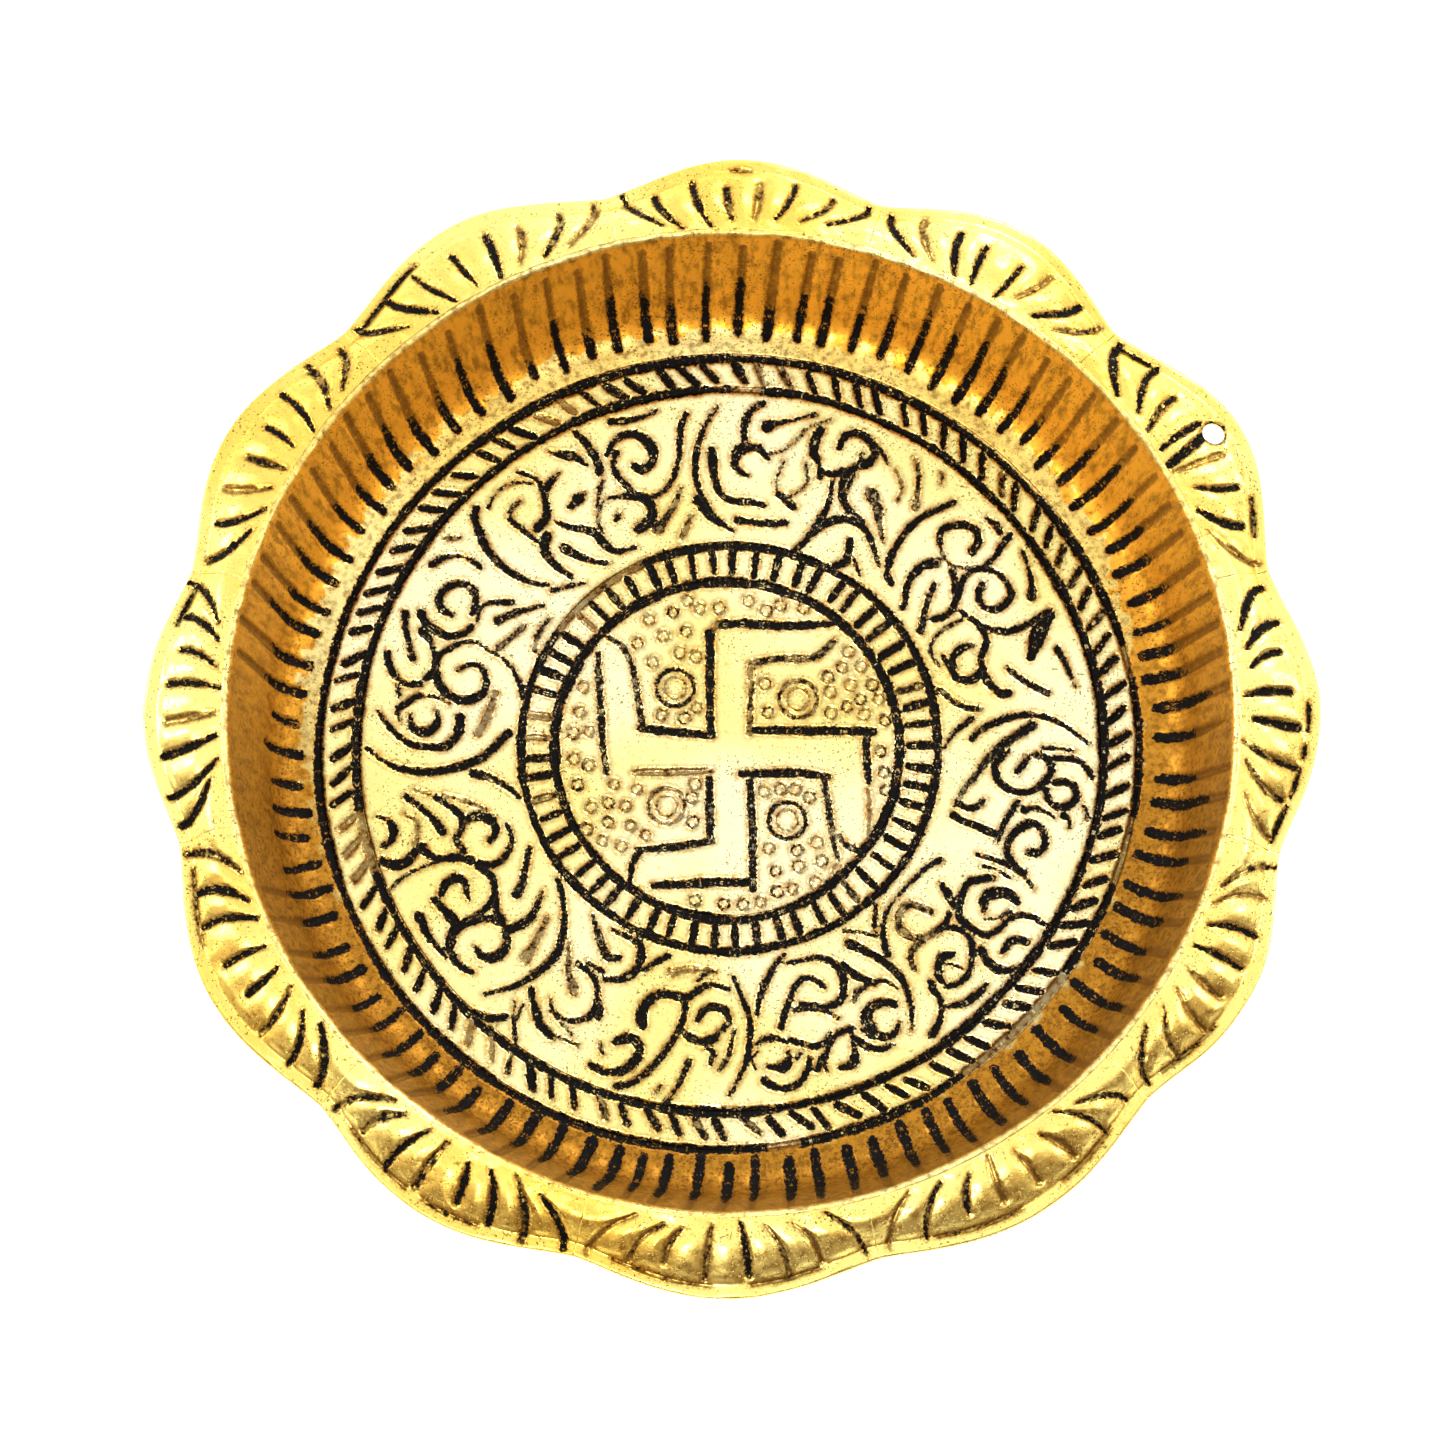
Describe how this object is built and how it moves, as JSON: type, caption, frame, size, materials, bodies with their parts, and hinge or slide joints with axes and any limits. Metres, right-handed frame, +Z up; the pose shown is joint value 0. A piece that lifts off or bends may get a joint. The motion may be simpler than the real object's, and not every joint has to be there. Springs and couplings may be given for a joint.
{
  "type": "tray",
  "caption": "Round shallow tray with a chased flat floor, a steep fluted wall and a scalloped petal rim with a small hanging hole.",
  "frame": {"origin": "centre of the base, on the plane the tray stands on", "axes": "+Z up out of the tray; +Y towards the top of the upright emblem in the floor's middle; +X to the emblem's right"},
  "size_m": [0.1526, 0.1526, 0.0181],
  "materials": {
    "brass_floor": "bright gold-toned brass, black patina in the chased strokes",
    "brass_wall": "darker orange brass, black patina in the flutes",
    "brass_rim": "bright pale gold-toned brass, polished along the edge"
  },
  "bodies": {
    "root": {"medallion": "brass_floor", "inner_band": "brass_floor", "scroll_field": "brass_floor", "outer_band": "brass_floor", "wall": "brass_wall", "petal_01": "brass_rim", "petal_02": "brass_rim", "petal_03": "brass_rim", "petal_04": "brass_rim", "petal_05": "brass_rim", "petal_06": "brass_rim", "petal_07": "brass_rim", "petal_08": "brass_rim", "petal_09": "brass_rim", "petal_10": "brass_rim", "petal_11": "brass_rim", "petal_12": "brass_rim"}
  },
  "joints": []
}
